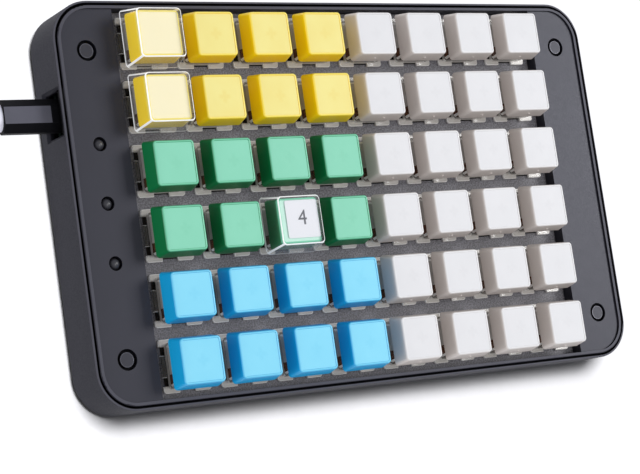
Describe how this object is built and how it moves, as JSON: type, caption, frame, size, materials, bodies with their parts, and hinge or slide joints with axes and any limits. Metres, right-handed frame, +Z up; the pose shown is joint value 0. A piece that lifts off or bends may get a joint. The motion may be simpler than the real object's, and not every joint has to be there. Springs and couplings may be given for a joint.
{
  "type": "one-handed keyboard",
  "caption": "Low one-handed keypad: a black case with a well of tapered colour-zoned push keys on clear switches, indicator lamps on the left panel and a plug-in lead.",
  "frame": {"origin": "on the table under the middle of the case, level with the undersides of the feet", "axes": "+X along the rows of keys to the right, +Y to the back row, +Z up out of the key tops"},
  "size_m": [0.2965, 0.119, 0.028],
  "materials": {
    "key_yellow": "satin moulded plastic",
    "key_green": "satin moulded plastic",
    "key_blue": "satin moulded plastic",
    "key_white": "satin moulded plastic",
    "case_black": "fine matte moulded plastic",
    "plate_grey": "sandy matte coating",
    "board_green": "solder mask",
    "housing_clear": "clear polished plastic",
    "spring_steel": "bright wire",
    "fastener_black": "matte black",
    "foot_rubber": "soft matte",
    "cord_pale": "smooth flexible jacket",
    "plug_black": "moulded grip"
  },
  "bodies": {
    "case": {"top_case": "case_black", "bottom_case": "case_black", "switch_plate": "plate_grey", "circuit_board": "board_green", "switch_bases": "housing_clear", "switch_tops": "housing_clear", "return_springs": "spring_steel", "corner_fasteners": "fastener_black", "rubber_feet": "foot_rubber", "usb_lead": "cord_pale", "usb_coil": "cord_pale", "cable_plugs": "plug_black"},
    "key_r1_c1": {"key_r1_c1": "key_yellow"},
    "key_r1_c2": {"key_r1_c2": "key_yellow"},
    "key_r1_c3": {"key_r1_c3": "key_yellow"},
    "key_r1_c4": {"key_r1_c4": "key_yellow"},
    "key_r1_c5": {"key_r1_c5": "key_white"},
    "key_r1_c6": {"key_r1_c6": "key_white"},
    "key_r1_c7": {"key_r1_c7": "key_white"},
    "key_r1_c8": {"key_r1_c8": "key_white"},
    "key_r2_c1": {"key_r2_c1": "key_yellow"},
    "key_r2_c2": {"key_r2_c2": "key_yellow"},
    "key_r2_c3": {"key_r2_c3": "key_yellow"},
    "key_r2_c4": {"key_r2_c4": "key_yellow"},
    "key_r2_c5": {"key_r2_c5": "key_white"},
    "key_r2_c6": {"key_r2_c6": "key_white"},
    "key_r2_c7": {"key_r2_c7": "key_white"},
    "key_r2_c8": {"key_r2_c8": "key_white"},
    "key_r3_c1": {"key_r3_c1": "key_green"},
    "key_r3_c2": {"key_r3_c2": "key_green"},
    "key_r3_c3": {"key_r3_c3": "key_green"},
    "key_r3_c4": {"key_r3_c4": "key_green"},
    "key_r3_c5": {"key_r3_c5": "key_white"},
    "key_r3_c6": {"key_r3_c6": "key_white"},
    "key_r3_c7": {"key_r3_c7": "key_white"},
    "key_r3_c8": {"key_r3_c8": "key_white"},
    "key_r4_c1": {"key_r4_c1": "key_green"},
    "key_r4_c2": {"key_r4_c2": "key_green"},
    "key_r4_c3": {"key_r4_c3": "key_green"},
    "key_r4_c4": {"key_r4_c4": "key_green"},
    "key_r4_c5": {"key_r4_c5": "key_white"},
    "key_r4_c6": {"key_r4_c6": "key_white"},
    "key_r4_c7": {"key_r4_c7": "key_white"},
    "key_r4_c8": {"key_r4_c8": "key_white"},
    "key_r5_c1": {"key_r5_c1": "key_blue"},
    "key_r5_c2": {"key_r5_c2": "key_blue"},
    "key_r5_c3": {"key_r5_c3": "key_blue"},
    "key_r5_c4": {"key_r5_c4": "key_blue"},
    "key_r5_c5": {"key_r5_c5": "key_white"},
    "key_r5_c6": {"key_r5_c6": "key_white"},
    "key_r5_c7": {"key_r5_c7": "key_white"},
    "key_r5_c8": {"key_r5_c8": "key_white"},
    "key_r6_c1": {"key_r6_c1": "key_blue"},
    "key_r6_c2": {"key_r6_c2": "key_blue"},
    "key_r6_c3": {"key_r6_c3": "key_blue"},
    "key_r6_c4": {"key_r6_c4": "key_blue"},
    "key_r6_c5": {"key_r6_c5": "key_white"},
    "key_r6_c6": {"key_r6_c6": "key_white"},
    "key_r6_c7": {"key_r6_c7": "key_white"},
    "key_r6_c8": {"key_r6_c8": "key_white"}
  },
  "joints": [
    {"name": "key_r1_c1_press", "type": "slide", "parent": "case", "child": "key_r1_c1", "axis": [0, 0, -1], "range_m": [0, 0.004], "stiffness_N_per_m": 75, "springref_m": -0.004, "deforming": ["return_springs"]},
    {"name": "key_r1_c2_press", "type": "slide", "parent": "case", "child": "key_r1_c2", "axis": [0, 0, -1], "range_m": [0, 0.004], "stiffness_N_per_m": 75, "springref_m": -0.004, "deforming": ["return_springs"]},
    {"name": "key_r1_c3_press", "type": "slide", "parent": "case", "child": "key_r1_c3", "axis": [0, 0, -1], "range_m": [0, 0.004], "stiffness_N_per_m": 75, "springref_m": -0.004, "deforming": ["return_springs"]},
    {"name": "key_r1_c4_press", "type": "slide", "parent": "case", "child": "key_r1_c4", "axis": [0, 0, -1], "range_m": [0, 0.004], "stiffness_N_per_m": 75, "springref_m": -0.004, "deforming": ["return_springs"]},
    {"name": "key_r1_c5_press", "type": "slide", "parent": "case", "child": "key_r1_c5", "axis": [0, 0, -1], "range_m": [0, 0.004], "stiffness_N_per_m": 75, "springref_m": -0.004, "deforming": ["return_springs"]},
    {"name": "key_r1_c6_press", "type": "slide", "parent": "case", "child": "key_r1_c6", "axis": [0, 0, -1], "range_m": [0, 0.004], "stiffness_N_per_m": 75, "springref_m": -0.004, "deforming": ["return_springs"]},
    {"name": "key_r1_c7_press", "type": "slide", "parent": "case", "child": "key_r1_c7", "axis": [0, 0, -1], "range_m": [0, 0.004], "stiffness_N_per_m": 75, "springref_m": -0.004, "deforming": ["return_springs"]},
    {"name": "key_r1_c8_press", "type": "slide", "parent": "case", "child": "key_r1_c8", "axis": [0, 0, -1], "range_m": [0, 0.004], "stiffness_N_per_m": 75, "springref_m": -0.004, "deforming": ["return_springs"]},
    {"name": "key_r2_c1_press", "type": "slide", "parent": "case", "child": "key_r2_c1", "axis": [0, 0, -1], "range_m": [0, 0.004], "stiffness_N_per_m": 75, "springref_m": -0.004, "deforming": ["return_springs"]},
    {"name": "key_r2_c2_press", "type": "slide", "parent": "case", "child": "key_r2_c2", "axis": [0, 0, -1], "range_m": [0, 0.004], "stiffness_N_per_m": 75, "springref_m": -0.004, "deforming": ["return_springs"]},
    {"name": "key_r2_c3_press", "type": "slide", "parent": "case", "child": "key_r2_c3", "axis": [0, 0, -1], "range_m": [0, 0.004], "stiffness_N_per_m": 75, "springref_m": -0.004, "deforming": ["return_springs"]},
    {"name": "key_r2_c4_press", "type": "slide", "parent": "case", "child": "key_r2_c4", "axis": [0, 0, -1], "range_m": [0, 0.004], "stiffness_N_per_m": 75, "springref_m": -0.004, "deforming": ["return_springs"]},
    {"name": "key_r2_c5_press", "type": "slide", "parent": "case", "child": "key_r2_c5", "axis": [0, 0, -1], "range_m": [0, 0.004], "stiffness_N_per_m": 75, "springref_m": -0.004, "deforming": ["return_springs"]},
    {"name": "key_r2_c6_press", "type": "slide", "parent": "case", "child": "key_r2_c6", "axis": [0, 0, -1], "range_m": [0, 0.004], "stiffness_N_per_m": 75, "springref_m": -0.004, "deforming": ["return_springs"]},
    {"name": "key_r2_c7_press", "type": "slide", "parent": "case", "child": "key_r2_c7", "axis": [0, 0, -1], "range_m": [0, 0.004], "stiffness_N_per_m": 75, "springref_m": -0.004, "deforming": ["return_springs"]},
    {"name": "key_r2_c8_press", "type": "slide", "parent": "case", "child": "key_r2_c8", "axis": [0, 0, -1], "range_m": [0, 0.004], "stiffness_N_per_m": 75, "springref_m": -0.004, "deforming": ["return_springs"]},
    {"name": "key_r3_c1_press", "type": "slide", "parent": "case", "child": "key_r3_c1", "axis": [0, 0, -1], "range_m": [0, 0.004], "stiffness_N_per_m": 75, "springref_m": -0.004, "deforming": ["return_springs"]},
    {"name": "key_r3_c2_press", "type": "slide", "parent": "case", "child": "key_r3_c2", "axis": [0, 0, -1], "range_m": [0, 0.004], "stiffness_N_per_m": 75, "springref_m": -0.004, "deforming": ["return_springs"]},
    {"name": "key_r3_c3_press", "type": "slide", "parent": "case", "child": "key_r3_c3", "axis": [0, 0, -1], "range_m": [0, 0.004], "stiffness_N_per_m": 75, "springref_m": -0.004, "deforming": ["return_springs"]},
    {"name": "key_r3_c4_press", "type": "slide", "parent": "case", "child": "key_r3_c4", "axis": [0, 0, -1], "range_m": [0, 0.004], "stiffness_N_per_m": 75, "springref_m": -0.004, "deforming": ["return_springs"]},
    {"name": "key_r3_c5_press", "type": "slide", "parent": "case", "child": "key_r3_c5", "axis": [0, 0, -1], "range_m": [0, 0.004], "stiffness_N_per_m": 75, "springref_m": -0.004, "deforming": ["return_springs"]},
    {"name": "key_r3_c6_press", "type": "slide", "parent": "case", "child": "key_r3_c6", "axis": [0, 0, -1], "range_m": [0, 0.004], "stiffness_N_per_m": 75, "springref_m": -0.004, "deforming": ["return_springs"]},
    {"name": "key_r3_c7_press", "type": "slide", "parent": "case", "child": "key_r3_c7", "axis": [0, 0, -1], "range_m": [0, 0.004], "stiffness_N_per_m": 75, "springref_m": -0.004, "deforming": ["return_springs"]},
    {"name": "key_r3_c8_press", "type": "slide", "parent": "case", "child": "key_r3_c8", "axis": [0, 0, -1], "range_m": [0, 0.004], "stiffness_N_per_m": 75, "springref_m": -0.004, "deforming": ["return_springs"]},
    {"name": "key_r4_c1_press", "type": "slide", "parent": "case", "child": "key_r4_c1", "axis": [0, 0, -1], "range_m": [0, 0.004], "stiffness_N_per_m": 75, "springref_m": -0.004, "deforming": ["return_springs"]},
    {"name": "key_r4_c2_press", "type": "slide", "parent": "case", "child": "key_r4_c2", "axis": [0, 0, -1], "range_m": [0, 0.004], "stiffness_N_per_m": 75, "springref_m": -0.004, "deforming": ["return_springs"]},
    {"name": "key_r4_c3_press", "type": "slide", "parent": "case", "child": "key_r4_c3", "axis": [0, 0, -1], "range_m": [0, 0.004], "stiffness_N_per_m": 75, "springref_m": -0.004, "deforming": ["return_springs"]},
    {"name": "key_r4_c4_press", "type": "slide", "parent": "case", "child": "key_r4_c4", "axis": [0, 0, -1], "range_m": [0, 0.004], "stiffness_N_per_m": 75, "springref_m": -0.004, "deforming": ["return_springs"]},
    {"name": "key_r4_c5_press", "type": "slide", "parent": "case", "child": "key_r4_c5", "axis": [0, 0, -1], "range_m": [0, 0.004], "stiffness_N_per_m": 75, "springref_m": -0.004, "deforming": ["return_springs"]},
    {"name": "key_r4_c6_press", "type": "slide", "parent": "case", "child": "key_r4_c6", "axis": [0, 0, -1], "range_m": [0, 0.004], "stiffness_N_per_m": 75, "springref_m": -0.004, "deforming": ["return_springs"]},
    {"name": "key_r4_c7_press", "type": "slide", "parent": "case", "child": "key_r4_c7", "axis": [0, 0, -1], "range_m": [0, 0.004], "stiffness_N_per_m": 75, "springref_m": -0.004, "deforming": ["return_springs"]},
    {"name": "key_r4_c8_press", "type": "slide", "parent": "case", "child": "key_r4_c8", "axis": [0, 0, -1], "range_m": [0, 0.004], "stiffness_N_per_m": 75, "springref_m": -0.004, "deforming": ["return_springs"]},
    {"name": "key_r5_c1_press", "type": "slide", "parent": "case", "child": "key_r5_c1", "axis": [0, 0, -1], "range_m": [0, 0.004], "stiffness_N_per_m": 75, "springref_m": -0.004, "deforming": ["return_springs"]},
    {"name": "key_r5_c2_press", "type": "slide", "parent": "case", "child": "key_r5_c2", "axis": [0, 0, -1], "range_m": [0, 0.004], "stiffness_N_per_m": 75, "springref_m": -0.004, "deforming": ["return_springs"]},
    {"name": "key_r5_c3_press", "type": "slide", "parent": "case", "child": "key_r5_c3", "axis": [0, 0, -1], "range_m": [0, 0.004], "stiffness_N_per_m": 75, "springref_m": -0.004, "deforming": ["return_springs"]},
    {"name": "key_r5_c4_press", "type": "slide", "parent": "case", "child": "key_r5_c4", "axis": [0, 0, -1], "range_m": [0, 0.004], "stiffness_N_per_m": 75, "springref_m": -0.004, "deforming": ["return_springs"]},
    {"name": "key_r5_c5_press", "type": "slide", "parent": "case", "child": "key_r5_c5", "axis": [0, 0, -1], "range_m": [0, 0.004], "stiffness_N_per_m": 75, "springref_m": -0.004, "deforming": ["return_springs"]},
    {"name": "key_r5_c6_press", "type": "slide", "parent": "case", "child": "key_r5_c6", "axis": [0, 0, -1], "range_m": [0, 0.004], "stiffness_N_per_m": 75, "springref_m": -0.004, "deforming": ["return_springs"]},
    {"name": "key_r5_c7_press", "type": "slide", "parent": "case", "child": "key_r5_c7", "axis": [0, 0, -1], "range_m": [0, 0.004], "stiffness_N_per_m": 75, "springref_m": -0.004, "deforming": ["return_springs"]},
    {"name": "key_r5_c8_press", "type": "slide", "parent": "case", "child": "key_r5_c8", "axis": [0, 0, -1], "range_m": [0, 0.004], "stiffness_N_per_m": 75, "springref_m": -0.004, "deforming": ["return_springs"]},
    {"name": "key_r6_c1_press", "type": "slide", "parent": "case", "child": "key_r6_c1", "axis": [0, 0, -1], "range_m": [0, 0.004], "stiffness_N_per_m": 75, "springref_m": -0.004, "deforming": ["return_springs"]},
    {"name": "key_r6_c2_press", "type": "slide", "parent": "case", "child": "key_r6_c2", "axis": [0, 0, -1], "range_m": [0, 0.004], "stiffness_N_per_m": 75, "springref_m": -0.004, "deforming": ["return_springs"]},
    {"name": "key_r6_c3_press", "type": "slide", "parent": "case", "child": "key_r6_c3", "axis": [0, 0, -1], "range_m": [0, 0.004], "stiffness_N_per_m": 75, "springref_m": -0.004, "deforming": ["return_springs"]},
    {"name": "key_r6_c4_press", "type": "slide", "parent": "case", "child": "key_r6_c4", "axis": [0, 0, -1], "range_m": [0, 0.004], "stiffness_N_per_m": 75, "springref_m": -0.004, "deforming": ["return_springs"]},
    {"name": "key_r6_c5_press", "type": "slide", "parent": "case", "child": "key_r6_c5", "axis": [0, 0, -1], "range_m": [0, 0.004], "stiffness_N_per_m": 75, "springref_m": -0.004, "deforming": ["return_springs"]},
    {"name": "key_r6_c6_press", "type": "slide", "parent": "case", "child": "key_r6_c6", "axis": [0, 0, -1], "range_m": [0, 0.004], "stiffness_N_per_m": 75, "springref_m": -0.004, "deforming": ["return_springs"]},
    {"name": "key_r6_c7_press", "type": "slide", "parent": "case", "child": "key_r6_c7", "axis": [0, 0, -1], "range_m": [0, 0.004], "stiffness_N_per_m": 75, "springref_m": -0.004, "deforming": ["return_springs"]},
    {"name": "key_r6_c8_press", "type": "slide", "parent": "case", "child": "key_r6_c8", "axis": [0, 0, -1], "range_m": [0, 0.004], "stiffness_N_per_m": 75, "springref_m": -0.004, "deforming": ["return_springs"]}
  ]
}
